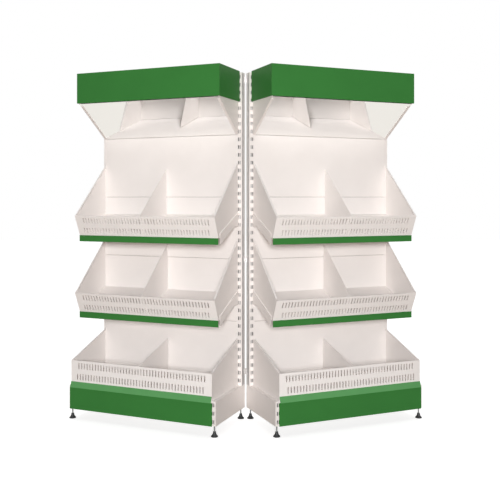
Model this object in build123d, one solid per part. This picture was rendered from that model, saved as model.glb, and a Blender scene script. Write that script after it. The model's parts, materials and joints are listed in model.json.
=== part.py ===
from build123d import *

import math
import os

# Corner produce display rack: two slotted-upright bays stand side by side at an
# angle, tied together at their backs. Each bay has a flat base basket, two tilted
# shelf baskets and a canopy with a slanted mirror. Millimetres, +Z up from the
# floor, fronts towards -Y, mirror plane between the bays at X = 0.
# Each bay is drawn in its own frame: x across with 0 in the middle, y = 0 on the
# front faces of the uprights, y negative towards the customer.

# Layout of the two bays
corner_angle = 45.0
rear_gap = 10.0

# Clearances
seat_gap = 0.3
side_gap = 0.5
edge_gap = 1.0

# Slotted uprights
upright_width = 36.0
upright_depth = 50.0
upright_wall = 2.0
slot_pitch = 50.0
slot_width = 17.0
slot_height = 23.0
slot_first_rise = 20.0

# Half-width end posts and legs at the outer ends, slotted only where hooks enter
end_post_width = 18.0
end_slot_width = 5.0

# Hooks that sit in the slots, beside the hooks of a neighbouring bay
hook_offset = 6.5
hook_neck_above = 2.0
hook_reach = 6.0
hook_drop = 7.0

# Back panels, stacked between the uprights
panel_height = 400.0
panel_count = 5
panel_sheet = 1.0
panel_flange = 15.0
panel_bend = 2.0
panel_seam = 1.5
panel_recess = 0.5

# Cross bars behind the panels
bar_height = 40.0
bar_depth = 20.0
bar_wall = 2.0
bar_top_drop = 60.0

# Levelling feet
floor_clearance = 68.0
foot_plate = 6.0
stud_radius = 5.0
stud_gap = 0.1
stud_sides = 12
stud_length = 70.0
pad_sides = 16
pad_radius = 22.0
pad_rim = 4.0
pad_waist_radius = 12.0
pad_waist_height = 15.0
pad_neck_radius = 8.0
pad_height = 32.0
foot_inset = 22.0

# Base legs and deck
leg_height = 149.0
leg_length = 400.0
leg_wall = 2.0
leg_slot_rows = 3
plinth_hook_rows = (0, 1)
leg_first_slot_rise = 25.0
deck_lip = 23.0
deck_setback = 6.0
panel_base_rise = 13.0

# Folded sheet of the baskets
shelf_length = 1000.0
sheet = 1.2
basket_flange = 15.0
hem_width = 10.0

# Perforated fronts
slit_width = 10.0
slit_height = 32.0
slit_pitch = 30.8
slit_end_margin = 52.0
slit_top_margin = 14.0
slit_bottom_margin = 24.0
front_flange = 12.0
front_hem = 12.0

# Base basket
base_front_height = 137.0
base_side_rear_height = 277.0

# Plinth and ticket strips
plinth_bottom_drop = 2.0
plinth_height = 139.0
plinth_depth = 4.0
plinth_return = 15.0
plinth_end_plate = 120.0
ticket_height = 40.0
ticket_lean = 14.0
ticket_return = 8.0
ticket_depth = 4.0
ticket_wall = 1.5
ticket_lip = 3.0

# Tilted shelf baskets, hung by slot row
shelf_rows = {"lower": 11, "upper": 21}
shelf_tilt = 24.0
shelf_depth = 305.0
deck_over_slot = 12.5
tray_rear_lip = 25.0
tray_front_lip = 40.0
tray_front_return = 12.0
shelf_front_height = 139.0
shelf_side_rear_height = 335.0

# Shelf brackets
bracket_sheet = 2.0
bracket_side_gap = 2.5
bracket_rise = 15.0
bracket_drop = 42.0
bracket_flange = 12.0
bracket_front_setback = 20.0
bracket_flare_run = 60.0

# Lift-out dividers
divider_drop = 30.0
divider_foot = 20.0
divider_front_gap = 1.0
divider_shifts = {"base": 5.0, "lower": 10.0, "upper": 20.0}

# Canopy
canopy_depth = 314.0
canopy_height = 195.0
canopy_rise = 8.0
canopy_side_reach = 9.0
canopy_return = 15.0
console_sheet = 2.0
console_top_row = 2
console_hook_span = 5
console_flange = 16.0
mirror_thickness = 4.0
mirror_rear_gap = 1.5
mirror_foot_rise = 3.0

# Corner ties behind the two middle uprights
tie_thickness = 4.0
tie_height = 40.0
tie_reach = 30.0
tie_rises = (232.0, 962.0)
tie_top_drop = 40.0

# Places worked out from the sizes above
tilt = math.radians(shelf_tilt)
half_corner = corner_angle / 2
half_shelf = shelf_length / 2
half_inside = half_shelf - sheet
bracket_x = half_shelf + bracket_side_gap + bracket_sheet / 2
upright_x = bracket_x + hook_offset
upright_inner_x = upright_x - upright_width / 2
upright_outer_x = upright_x + upright_width / 2
end_post_x = upright_inner_x + end_post_width / 2
half_panel = upright_inner_x - side_gap
leg_bottom_z = floor_clearance
leg_top_z = leg_bottom_z + leg_height
deck_top_z = leg_top_z + deck_lip
deck_depth = leg_length - deck_setback
panel_base_z = leg_top_z + panel_base_rise
upright_top_z = panel_base_z + panel_count * panel_height
canopy_top_z = upright_top_z + canopy_rise
canopy_bottom_z = canopy_top_z - canopy_height
front_foot_y = foot_inset - leg_length
rear_foot_y = upright_depth / 2
slot_rows = int((upright_top_z - panel_base_z - slot_first_rise - slot_height / 2) // slot_pitch) + 1
console_rows = (slot_rows - console_top_row, slot_rows - console_top_row - console_hook_span)


def slot_z(row):
    """Height of the middle of a slot row on the uprights."""
    return panel_base_z + slot_first_rise + row * slot_pitch


def leg_slot_z(row):
    """Height of the middle of a slot row on the front of a base leg."""
    return leg_bottom_z + leg_first_slot_rise + row * slot_pitch


# Drawing helpers
def prism(points, x_low, x_high):
    """A solid with the outline points (y, z), from x_low to x_high."""
    outline = make_face(Polyline(*[(x_low, y, z) for y, z in points], close=True))
    return extrude(outline, amount=x_high - x_low, dir=(1, 0, 0))


def block(x_range, y_range, z_range):
    """A box between the given limits."""
    sizes = [high - low for low, high in (x_range, y_range, z_range)]
    middle = [(high + low) / 2 for low, high in (x_range, y_range, z_range)]
    return Pos(*middle) * Box(*sizes)


def folded(points, thickness):
    """The outline of a bent sheet whose middle line runs through points (y, z)."""
    normals = []
    for (y0, z0), (y1, z1) in zip(points, points[1:]):
        length = math.hypot(y1 - y0, z1 - z0)
        normals.append(((z0 - z1) / length, (y1 - y0) / length))
    offsets = [normals[0]]
    for (ay, az), (by, bz) in zip(normals, normals[1:]):
        share = 1 + ay * by + az * bz
        offsets.append(((ay + by) / share, (az + bz) / share))
    offsets.append(normals[-1])
    half = thickness / 2
    one_side = [(y + half * oy, z + half * oz) for (y, z), (oy, oz) in zip(points, offsets)]
    other_side = [(y - half * oy, z - half * oz) for (y, z), (oy, oz) in zip(points, offsets)]
    return one_side + other_side[::-1]


def both_ends(make_end):
    """The same piece at both ends of a bay, made by make_end(end) with end -1 or 1."""
    return [make_end(-1), make_end(1)]


def between(end, near, far):
    """The x limits of a piece that lies from near to far on one end of the bay."""
    return sorted((end * near, end * far))


def hooks(rows_z, edge_y, wall):
    """Points down a rear edge at edge_y, with one hook into the wall at each slot height."""
    points = []
    inside = edge_y + seat_gap + wall + seat_gap
    tip = inside + hook_reach
    for z in sorted(rows_z, reverse=True):
        neck_top = z + hook_neck_above
        neck_bottom = z - slot_height / 2 + seat_gap
        lip_bottom = neck_bottom - hook_drop
        points += [(edge_y, neck_top), (tip, neck_top), (tip, lip_bottom)]
        points += [(inside, lip_bottom), (inside, neck_bottom), (edge_y, neck_bottom)]
    return points


# Uprights, bars and panels
def slot_cutters(x_range, y_range, rows_z):
    """Boxes that cut the slot column of an upright or leg."""
    return [block(x_range, y_range, (z - slot_height / 2, z + slot_height / 2)) for z in rows_z]


def wide_slot():
    """The x limits of a slot for two hooks side by side, in an upright centred on x = 0."""
    return -slot_width / 2, slot_width / 2


def end_slot(outward):
    """The x limits of a slot for one hook, in an end post centred on x = 0."""
    middle = outward * (bracket_x - end_post_x)
    return middle - end_slot_width / 2, middle + end_slot_width / 2


def stud_hole(y):
    """The cutter for a foot's stud in the bottom plate of an upright or leg."""
    cutter = extrude(RegularPolygon(stud_radius + stud_gap, stud_sides), amount=4 * foot_plate, both=True)
    return Pos(0, y, leg_bottom_z) * cutter


def upright(width, slot_limits, rows):
    """A slotted box section centred on x = 0, closed by a tapped foot plate at the bottom."""
    half = width / 2
    post = block((-half, half), (0, upright_depth), (leg_bottom_z, upright_top_z))
    hollow = block(
        (upright_wall - half, half - upright_wall),
        (upright_wall, upright_depth - upright_wall),
        (leg_bottom_z + foot_plate, upright_top_z + edge_gap),
    )
    rows_z = [slot_z(row) for row in rows]
    cutters = slot_cutters(slot_limits, (-edge_gap, upright_wall + edge_gap), rows_z)
    return post - hollow - cutters - stud_hole(rear_foot_y)


def hook_rows():
    """The slot rows that the brackets and consoles of a bay hook into."""
    rows = list(console_rows)
    for row in shelf_rows.values():
        rows += [row, row - 1]
    return rows


def cross_bars():
    """Two box bars between the uprights, one under the panels and one behind their top."""
    bars = []
    front = panel_recess + panel_flange + seat_gap
    low = (panel_recess, panel_base_z - seat_gap - bar_height)
    high = (front, upright_top_z - bar_top_drop - bar_height)
    for y, z in (low, high):
        tube = block((-half_panel, half_panel), (y, y + bar_depth), (z, z + bar_height))
        inside = block(
            (-half_panel - edge_gap, half_panel + edge_gap),
            (y + bar_wall, y + bar_depth - bar_wall),
            (z + bar_wall, z + bar_height - bar_wall),
        )
        bars.append(tube - inside)
    return bars


def back_panels():
    """Sheet panels with bevelled bends and flanges turned to the rear."""
    front = panel_recess + panel_sheet / 2
    rear = panel_recess + panel_flange
    panels = []
    for number in range(panel_count):
        low = panel_base_z + number * panel_height + panel_sheet / 2
        high = low + panel_height - panel_seam - panel_sheet
        line = [(rear, low), (front + panel_bend, low), (front, low + panel_bend)]
        line += [(front, high - panel_bend), (front + panel_bend, high), (rear, high)]
        panels.append(prism(folded(line, panel_sheet), -half_panel, half_panel))
    return panels


# Base
def base_leg(width, slot_limits, rows):
    """A deep box leg centred on x = 0, slotted in front for the plinth, on a tapped foot plate."""
    half = width / 2
    body = block((-half, half), (-leg_length, -seat_gap), (leg_bottom_z, leg_top_z))
    hollow = block(
        (leg_wall - half, half - leg_wall),
        (leg_wall - leg_length, -seat_gap - leg_wall),
        (leg_bottom_z + foot_plate, leg_top_z - leg_wall),
    )
    rows_z = [leg_slot_z(row) for row in rows]
    cutters = slot_cutters(slot_limits, (-leg_length - edge_gap, leg_wall + edge_gap - leg_length), rows_z)
    return body - hollow - cutters - stud_hole(front_foot_y)


def base_legs(outward):
    inner = base_leg(upright_width, wide_slot(), range(leg_slot_rows))
    outer = base_leg(end_post_width, end_slot(outward), plinth_hook_rows)
    return [Pos(-outward * upright_x, 0, 0) * inner, Pos(outward * end_post_x, 0, 0) * outer]


def base_deck():
    """The flat base tray, standing on the legs on its turned-down lips."""
    outside = block((-half_shelf, half_shelf), (-deck_depth, -edge_gap), (leg_top_z, deck_top_z))
    underside = block(
        (sheet - half_shelf, half_shelf - sheet),
        (sheet - deck_depth, -edge_gap - sheet),
        (leg_top_z - edge_gap, deck_top_z - sheet),
    )
    return outside - underside


def perforated_front(height, outward):
    """A slit plate on its own plane: x across, y up, outer face at z = 0, with hem and flange.

    The two rows of slits are staggered by half a pitch, the lower row further outward."""
    outer = Wire.make_polygon(
        [(-half_shelf, 0, 0), (half_shelf, 0, 0), (half_shelf, height, 0), (-half_shelf, height, 0)]
    )
    count = int((shelf_length - 2 * slit_end_margin) // slit_pitch) + 1
    row_middles = {
        outward: slit_bottom_margin + slit_height / 2,
        -outward: height - slit_top_margin - slit_height / 2,
    }
    openings = []
    for shift, middle in row_middles.items():
        for number in range(count):
            x = (number - (count - 1) / 2) * slit_pitch + shift * slit_pitch / 4
            low, high = middle - slit_height / 2, middle + slit_height / 2
            left, right = x - slit_width / 2, x + slit_width / 2
            corners = [(left, low, 0), (right, low, 0), (right, high, 0), (left, high, 0)]
            openings.append(Wire.make_polygon(corners))
    plate = extrude(Face(outer, openings), amount=sheet, dir=(0, 0, -1))
    inside = half_inside - side_gap
    hem = block((-inside, inside), (height - front_hem, height), (-2 * sheet, -sheet))
    reach = half_inside - basket_flange - edge_gap
    flange = block((-reach, reach), (0, sheet), (-front_flange, -sheet))
    return plate + hem + flange


def basket_side(end, corners, floor, hem):
    """A side plate with the outline corners, and strips turned inwards at its floor and top edge."""
    plate = prism(corners, *between(end, half_inside, half_shelf))
    foot = prism(floor, *between(end, half_inside - basket_flange, half_inside))
    top = prism(hem, *between(end, half_inside - hem_width, half_inside))
    return plate + foot + top


def strip_below(start, finish, thickness):
    """The outline of a strip along the line start to finish (front to rear), thickness below it."""
    (y0, z0), (y1, z1) = start, finish
    length = math.hypot(y1 - y0, z1 - z0)
    down_y, down_z = thickness * (z1 - z0) / length, -thickness * (y1 - y0) / length
    return [start, finish, (y1 + down_y, z1 + down_z), (y0 + down_y, z0 + down_z)]


def share(start, finish, part):
    """The point that lies part of the way from start to finish."""
    return tuple(a + part * (b - a) for a, b in zip(start, finish))


def hem_line(front_top, rear_top):
    """The stretch of a side's top edge that carries its hem, clear of the front panel."""
    length = math.dist(front_top, rear_top)
    return share(front_top, rear_top, (front_hem + edge_gap) / length), rear_top


def base_sides():
    rear, front = -edge_gap, sheet + seat_gap - deck_depth
    rear_top = (rear, deck_top_z + base_side_rear_height)
    front_top = (front, deck_top_z + base_front_height)
    corners = [(front, deck_top_z), (rear, deck_top_z), rear_top, front_top]
    floor_front = front_flange + edge_gap - deck_depth
    floor = [(floor_front, deck_top_z), (rear, deck_top_z)]
    floor += [(rear, deck_top_z + sheet), (floor_front, deck_top_z + sheet)]
    hem = strip_below(*hem_line(front_top, rear_top), sheet)
    return both_ends(lambda end: basket_side(end, corners, floor, hem))


def base_front(outward):
    plane = Plane((0, -deck_depth, deck_top_z), x_dir=(1, 0, 0), z_dir=(0, -1, 0))
    return plane * perforated_front(base_front_height, outward)


def divider(outline, foot, outward, shelf):
    """A plate with a foot strip, standing outward of the middle by the shelf's shift."""
    plate = prism(outline, -sheet / 2, sheet / 2)
    strip = prism(foot, *between(outward, sheet / 2, divider_foot))
    return Pos(outward * divider_shifts[shelf], 0, 0) * (plate + strip)


def base_divider(outward):
    """A lift-out sheet divider with a foot strip, standing on the deck."""
    bottom = deck_top_z + seat_gap
    rear = -edge_gap - sheet - side_gap
    front = 2 * sheet + divider_front_gap - deck_depth
    notch = front_flange + edge_gap - deck_depth
    step = bottom + 2 * sheet
    rear_top = deck_top_z + base_side_rear_height - divider_drop
    front_top = deck_top_z + base_front_height - sheet
    outline = [(notch, bottom), (rear, bottom), (rear, rear_top)]
    outline += [(front, front_top), (front, step), (notch, step)]
    foot = [(notch, bottom), (rear, bottom), (rear, bottom + sheet), (notch, bottom + sheet)]
    return divider(outline, foot, outward, "base")


def plinth():
    """The kick plate, hooked into the front slots of the legs by its end plates."""
    front = -leg_length - seat_gap - plinth_depth
    low = leg_bottom_z - plinth_bottom_drop
    high = low + plinth_height
    half_plate = bracket_x + bracket_sheet / 2
    face = block((-half_plate, half_plate), (front, front + sheet), (low, high))
    half_return = upright_inner_x - edge_gap
    x_range = (-half_return, half_return)
    y_range = (front + sheet, front + plinth_return)
    face += block(x_range, y_range, (low, low + sheet))
    face += block(x_range, y_range, (high - sheet, high))
    middle = (low + high) / 2
    edge = -leg_length - seat_gap
    outline = [(front + sheet, middle + plinth_end_plate / 2), (edge, middle + plinth_end_plate / 2)]
    outline += hooks([leg_slot_z(row) for row in plinth_hook_rows], edge, leg_wall)
    outline += [(edge, middle - plinth_end_plate / 2), (front + sheet, middle - plinth_end_plate / 2)]
    plates = both_ends(lambda end: prism(outline, *between(end, bracket_x - bracket_sheet / 2, half_plate)))
    return face + plates


def base_strip():
    """The leaning strip that closes the front between the deck and the plinth."""
    top = deck_top_z + sheet / 2
    foot = leg_bottom_z - plinth_bottom_drop + plinth_height + seat_gap + sheet / 2
    upper = -deck_depth - seat_gap - sheet
    lower = upper - ticket_lean
    line = [(upper + sheet, top), (upper, top), (lower, foot), (lower + ticket_return, foot)]
    return prism(folded(line, sheet), -half_shelf, half_shelf)


# Tilted shelves
def deck_rear_z(row):
    """Height of a tilted shelf's top surface at its rear edge."""
    return slot_z(row) + deck_over_slot


def on_deck(row, along, above):
    """The (y, z) point that lies along the deck from its rear edge and above its surface."""
    y = -edge_gap - along * math.cos(tilt) - above * math.sin(tilt)
    z = deck_rear_z(row) - along * math.sin(tilt) + above * math.cos(tilt)
    return y, z


def deck_line_z(row, y, above):
    """Height at depth y of the line that runs above the deck and parallel to it."""
    return deck_rear_z(row) + (y + edge_gap) * math.tan(tilt) + above / math.cos(tilt)


deck_front_y = ticket_depth + seat_gap - shelf_depth
deck_run = (-deck_front_y - edge_gap) / math.cos(tilt)


def shelf_tray(row):
    """A bent sheet: rear lip, tilted deck, front lip for the ticket strip and a return."""
    half = sheet / 2
    rear, front = -edge_gap - half, deck_front_y + half
    rear_z, front_z = deck_line_z(row, rear, -half), deck_line_z(row, front, -half)
    lip_z = front_z - tray_front_lip
    line = [(rear, rear_z - tray_rear_lip), (rear, rear_z), (front, front_z)]
    line += [(front, lip_z), (front + tray_front_return, lip_z)]
    return prism(folded(line, sheet), -half_shelf, half_shelf)


def shelf_bracket(row, end):
    """A hooked bracket plate beside the basket, with a seat flange under the deck."""
    edge = -seat_gap
    front = bracket_front_setback - shelf_depth
    flare = edge - bracket_flare_run
    rear_bottom = slot_z(row - 1) - slot_height / 2 - hook_neck_above
    outline = [(front, deck_line_z(row, front, bracket_rise)), (edge, deck_line_z(row, edge, bracket_rise))]
    outline += hooks([slot_z(row), slot_z(row - 1)], edge, upright_wall)
    outline += [(edge, rear_bottom), (flare, deck_line_z(row, flare, -bracket_drop))]
    outline += [(front, deck_line_z(row, front, -bracket_drop))]
    plate = prism(outline, *between(end, bracket_x - bracket_sheet / 2, bracket_x + bracket_sheet / 2))
    seat_front, seat_rear = front, -edge_gap - 2 * sheet
    top, low = -sheet, -sheet - bracket_sheet
    seat = [(seat_front, deck_line_z(row, seat_front, top)), (seat_rear, deck_line_z(row, seat_rear, top))]
    seat += [(seat_rear, deck_line_z(row, seat_rear, low)), (seat_front, deck_line_z(row, seat_front, low))]
    near, far = half_shelf - bracket_flange, bracket_x - bracket_sheet / 2
    return plate + prism(seat, *between(end, near, far))


def shelf_brackets():
    rows = list(shelf_rows.values())
    return [shelf_bracket(row, end) for row in rows for end in (-1, 1)]


def shelf_sides(row):
    front_along = deck_run - sheet - seat_gap
    rear = -edge_gap
    rear_top = (rear, deck_rear_z(row) + shelf_side_rear_height)
    front_top = on_deck(row, front_along, shelf_front_height)
    corners = [on_deck(row, front_along, 0), on_deck(row, 0, 0), rear_top, front_top]
    floor_front = deck_run - front_flange - edge_gap
    floor = [on_deck(row, floor_front, 0), on_deck(row, 0, 0)]
    floor += [on_deck(row, 0, sheet), on_deck(row, floor_front, sheet)]
    hem = strip_below(*hem_line(front_top, rear_top), sheet)
    return both_ends(lambda end: basket_side(end, corners, floor, hem))


def shelf_front(row, outward):
    y, z = on_deck(row, deck_run, 0)
    facing = (0, -math.cos(tilt), -math.sin(tilt))
    plane = Plane((0, y, z), x_dir=(1, 0, 0), z_dir=facing)
    return plane * perforated_front(shelf_front_height, outward)


def shelf_divider(shelf, outward):
    """A lift-out sheet divider with a foot strip, square to the tilted deck."""
    row = shelf_rows[shelf]
    front_along = deck_run - 2 * sheet - divider_front_gap
    notch_along = deck_run - front_flange - edge_gap
    rear = -edge_gap - sheet - side_gap
    rear_top = deck_rear_z(row) + shelf_side_rear_height - divider_drop
    step = seat_gap + 2 * sheet
    rear_along = (-edge_gap - rear) / math.cos(tilt)
    bottom_rear = on_deck(row, rear_along, seat_gap)
    outline = [on_deck(row, notch_along, seat_gap), bottom_rear, (rear, rear_top)]
    outline += [on_deck(row, front_along, shelf_front_height - sheet), on_deck(row, front_along, step)]
    outline += [on_deck(row, notch_along, step)]
    foot = [on_deck(row, notch_along, seat_gap), bottom_rear]
    foot += [on_deck(row, rear_along, seat_gap + sheet), on_deck(row, notch_along, seat_gap + sheet)]
    return divider(outline, foot, outward, shelf)


def shelf_ticket_strip(row):
    """A channel strip with small lips that hold the price tickets, on the tray's front lip."""
    back = -shelf_depth + ticket_depth
    front = -shelf_depth
    top = deck_line_z(row, deck_front_y, 0) - seat_gap
    low = top - ticket_height
    inner = front + ticket_wall
    outline = [(back, low), (back, top), (front, top), (front, top - ticket_lip)]
    outline += [(inner, top - ticket_lip), (inner, low + ticket_lip)]
    outline += [(front, low + ticket_lip), (front, low)]
    return prism(outline, -half_shelf, half_shelf)


# Canopy
mirror_rear = (-mirror_rear_gap, upright_top_z - panel_height + mirror_foot_rise)
mirror_front = (canopy_return + edge_gap - canopy_depth, canopy_bottom_z - mirror_foot_rise)
mirror_slope = math.atan2(mirror_front[1] - mirror_rear[1], mirror_rear[0] - mirror_front[0])
console_inner_x = bracket_x - console_sheet / 2
console_outer_x = bracket_x + console_sheet / 2
half_mirror = console_inner_x - side_gap
half_canopy = console_outer_x + canopy_side_reach


def above_mirror(y, offset):
    """The (y, z) point at depth y that lies offset above the mirror's lower face."""
    rise = (mirror_rear[0] - y) * math.tan(mirror_slope)
    return y, mirror_rear[1] + rise + offset / math.cos(mirror_slope)


def canopy_mirror():
    rear, front = mirror_rear[0], mirror_front[0]
    top_front = front + mirror_thickness * math.sin(mirror_slope)
    outline = [mirror_rear, mirror_front]
    outline += [above_mirror(top_front, mirror_thickness), above_mirror(rear, mirror_thickness)]
    return prism(outline, -half_mirror, half_mirror)


def canopy_console(end):
    """The hooked end plate that carries the canopy, with a flange that the mirror lies on."""
    edge = -seat_gap
    front = sheet + seat_gap - canopy_depth
    top = canopy_top_z - 2 * sheet - seat_gap
    outline = [(front, top), (edge, top)]
    outline += hooks([slot_z(row) for row in console_rows], edge, upright_wall)
    low, high = -seat_gap - console_sheet, -seat_gap
    outline += [above_mirror(edge, low), above_mirror(mirror_front[0], low)]
    outline += [(front, canopy_bottom_z + sheet + seat_gap)]
    plate = prism(outline, *between(end, console_inner_x, console_outer_x))
    flange_front, flange_rear = mirror_front[0] + canopy_return, mirror_rear[0] - edge_gap
    flange = [above_mirror(flange_front, low), above_mirror(flange_rear, low)]
    flange += [above_mirror(flange_rear, high), above_mirror(flange_front, high)]
    return plate + prism(flange, *between(end, console_inner_x - console_flange, console_inner_x))


def canopy_top():
    """The flat cover that lies on the consoles, turned down at its rear edge."""
    low = canopy_top_z - 2 * sheet - seat_gap
    front = sheet + seat_gap - canopy_depth
    half = console_outer_x + edge_gap
    cover = block((-half, half), (front, -edge_gap), (low, low + sheet))
    x_range = (-half_mirror, half_mirror)
    return cover + block(x_range, (-edge_gap - sheet, -edge_gap), (low - canopy_return, low))


def canopy_fascia():
    """A front board with returns between the consoles, and an end board at each side."""
    z_range = (canopy_bottom_z, canopy_top_z)
    front = block((-half_canopy, half_canopy), (-canopy_depth, sheet - canopy_depth), z_range)
    x_range = (-half_mirror, half_mirror)
    y_range = (sheet - canopy_depth, canopy_return - canopy_depth)
    front += block(x_range, y_range, (canopy_bottom_z, canopy_bottom_z + sheet))
    front += block(x_range, y_range, (canopy_top_z - sheet, canopy_top_z))

    def end_board(end):
        y_range = (sheet + seat_gap - canopy_depth, -edge_gap)
        board = block(between(end, half_canopy - sheet, half_canopy), y_range, z_range)
        turned = between(end, console_outer_x + seat_gap, half_canopy - sheet)
        board += block(turned, y_range, (canopy_bottom_z, canopy_bottom_z + sheet))
        return board + block(turned, y_range, (canopy_top_z - sheet, canopy_top_z))

    return [front] + both_ends(end_board)


# Feet and ties
def ring(radius, z, sides):
    """The corners of a level regular outline."""
    turns = [2 * math.pi * number / sides for number in range(sides)]
    return [(radius * math.cos(turn), radius * math.sin(turn), z) for turn in turns]


def tapered(levels, sides):
    """A solid with flat sides through the levels (radius, z), from the lowest up."""
    rings = [ring(radius, z, sides) for radius, z in levels]
    outlines = [rings[0][::-1], rings[-1]]
    for low, high in zip(rings, rings[1:]):
        for number in range(sides):
            after = (number + 1) % sides
            outlines.append([low[number], low[after], high[after], high[number]])
    return Solid(Shell([Face(Wire.make_polygon(corners)) for corners in outlines]))


def foot():
    """A steel stud on a flared pad, standing on z = 0 at the origin."""
    waist = (pad_waist_radius, pad_waist_height)
    pad_levels = [(pad_radius, 0), (pad_radius, pad_rim), waist, (pad_neck_radius, pad_height)]
    stud_levels = [(stud_radius, pad_height), (stud_radius, pad_height + stud_length)]
    return [tapered(stud_levels, stud_sides), tapered(pad_levels, pad_sides)]


def foot_places():
    """Depth of the front and rear feet of a bay."""
    return {"front": front_foot_y, "rear": rear_foot_y}


def corner_ties(bay_location):
    """Bent plates across the backs of the two middle uprights, given the right bay's place."""
    rear = upright_depth
    corner_x = -upright_outer_x
    far = (bay_location * Pos(corner_x + tie_reach, rear, 0)).position
    far_back = (bay_location * Pos(corner_x + tie_reach, rear + tie_thickness, 0)).position
    lean = math.tan(math.radians(half_corner))
    apex = far.Y - far.X * lean
    apex_back = apex + tie_thickness / math.cos(math.radians(half_corner))
    plan = [(0, apex), (far.X, far.Y), (far_back.X, far_back.Y), (0, apex_back)]
    plan += [(-far_back.X, far_back.Y), (-far.X, far.Y)]
    outline = make_face(Polyline(*plan, close=True))
    plate = extrude(outline, amount=tie_height)
    heights = [leg_bottom_z + rise for rise in tie_rises] + [upright_top_z - tie_top_drop]
    return [Pos(0, 0, height - tie_height / 2) * plate for height in heights]


# The whole rack
def bay_turn(side):
    """The turn of the left bay (side -1) or the right bay (side 1) about the vertical."""
    return Rot(0, 0, side * half_corner)


def bay_shift():
    """The right bay's shift: its inner rear corner stands off X = 0, its depth is centred on Y = 0."""
    angle = math.radians(half_corner)
    inner_x = -upright_outer_x * math.cos(angle) - upright_depth * math.sin(angle)
    end_x = upright_inner_x + end_post_width
    rear_y = end_x * math.sin(angle) + upright_depth * math.cos(angle)
    strip_front = deck_depth + seat_gap + sheet + ticket_lean + sheet / 2
    plinth_front = leg_length + seat_gap + plinth_depth
    reaches = [(half_shelf, strip_front), (upright_outer_x, leg_length)]
    reaches.append((bracket_x + bracket_sheet / 2, plinth_front))
    front_y = -max(x * math.sin(angle) + y * math.cos(angle) for x, y in reaches)
    return rear_gap / 2 - inner_x, -(front_y + rear_y) / 2


def bay_place(side):
    x, y = bay_shift()
    return Pos(side * x, y, 0) * bay_turn(side)


def bay_pieces(side):
    """All fixed and lift-out pieces of one bay by node name, in the bay's own frame."""
    inner, outer = -side * upright_x, side * end_post_x
    pieces = {
        "inner_upright": [Pos(inner, 0, 0) * upright(upright_width, wide_slot(), range(slot_rows))],
        "outer_upright": [Pos(outer, 0, 0) * upright(end_post_width, end_slot(side), hook_rows())],
        "back_panels": back_panels(),
        "base_legs": base_legs(side),
        "base_deck": [base_deck()],
        "base_sides": base_sides(),
        "base_front": [base_front(side)],
        "base_divider": [base_divider(side)],
        "base_strip": [base_strip()],
        "plinth": [plinth()],
        "ticket_strips": [shelf_ticket_strip(row) for row in shelf_rows.values()],
        "shelf_brackets": shelf_brackets(),
        "canopy_consoles": both_ends(canopy_console),
        "canopy_fascia": canopy_fascia(),
        "canopy_top": [canopy_top()],
        "canopy_mirror": [canopy_mirror()],
    }
    for name, row in shelf_rows.items():
        pieces[f"{name}_tray"] = [shelf_tray(row)]
        pieces[f"{name}_sides"] = shelf_sides(row)
        pieces[f"{name}_front"] = [shelf_front(row, side)]
        pieces[f"{name}_divider"] = [shelf_divider(name, side)]
    for place, y in foot_places().items():
        for end_name, x in (("inner", inner), ("outer", outer)):
            pieces[f"{end_name}_{place}_foot"] = [Pos(x, y, 0) * solid for solid in foot()]
    return pieces


def rack_nodes():
    """Every node of the rack by name, as a list of separate solids in the rack's frame."""
    nodes = {"cross_bars": [], "corner_ties": corner_ties(bay_place(1))}
    for side, side_name in ((-1, "left"), (1, "right")):
        place = bay_place(side)
        for name, solids in bay_pieces(side).items():
            nodes[f"{side_name}_{name}"] = [place * solid for solid in solids]
        nodes["cross_bars"] += [place * bar for bar in cross_bars()]
    return nodes


def write_nodes():
    os.makedirs("parts", exist_ok=True)
    for name, pieces in rack_nodes().items():
        solids = [solid for piece in pieces for solid in piece.solids()]
        shape = solids[0] if len(solids) == 1 else Compound(children=solids)
        shape.label = name
        export_step(shape, f"parts/{name}.step")


write_nodes()
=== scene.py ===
# %% [markdown]
# # A corner rack for fruit and vegetables
# The rack is shop-fitter's sheet metal: two bays of slotted uprights that stand at an angle, with
# white baskets, green trim and a slanted mirror under each canopy. The solids of the frame already
# have their real size and place. This script never moves them. It dresses them: it adds the finishes
# and swaps the pieces whose detail is too fine for the solids.

# %% Load the frame
import json
import math

import bmesh
import bpy
from mathutils import Matrix, Vector


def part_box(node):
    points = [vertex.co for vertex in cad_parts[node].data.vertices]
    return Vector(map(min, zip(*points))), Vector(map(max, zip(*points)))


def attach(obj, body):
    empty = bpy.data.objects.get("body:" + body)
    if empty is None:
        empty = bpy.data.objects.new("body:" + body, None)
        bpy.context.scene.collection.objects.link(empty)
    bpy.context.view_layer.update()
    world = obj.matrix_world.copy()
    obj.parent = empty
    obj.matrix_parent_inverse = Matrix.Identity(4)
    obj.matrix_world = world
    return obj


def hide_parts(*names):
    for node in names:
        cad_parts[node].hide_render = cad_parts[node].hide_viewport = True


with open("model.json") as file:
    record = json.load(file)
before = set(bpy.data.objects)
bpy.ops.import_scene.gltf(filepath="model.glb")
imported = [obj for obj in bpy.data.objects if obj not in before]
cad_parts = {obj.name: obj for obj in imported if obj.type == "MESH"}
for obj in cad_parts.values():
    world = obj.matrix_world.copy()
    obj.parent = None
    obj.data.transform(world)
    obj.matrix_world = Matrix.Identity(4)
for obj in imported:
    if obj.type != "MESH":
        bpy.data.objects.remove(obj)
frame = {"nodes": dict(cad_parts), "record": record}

scene = bpy.context.scene
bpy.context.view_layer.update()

# %% [markdown]
# ## Camera
# The photograph was taken from the middle, at the height of the panel seam behind the upper baskets.
# A level camera keeps upright lines upright, and a tilted one would make them lean. The lens is
# shifted down instead, as on an architect's camera, to bring the feet into the frame. The distance is
# counted from the front edges of the two middle uprights.

# %% Camera
lens_mm = 53.97
sensor_mm = 36.0
camera_distance = 4.81
camera_height = 1.426
shift_right = 0.0088
shift_down = 0.105

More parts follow.
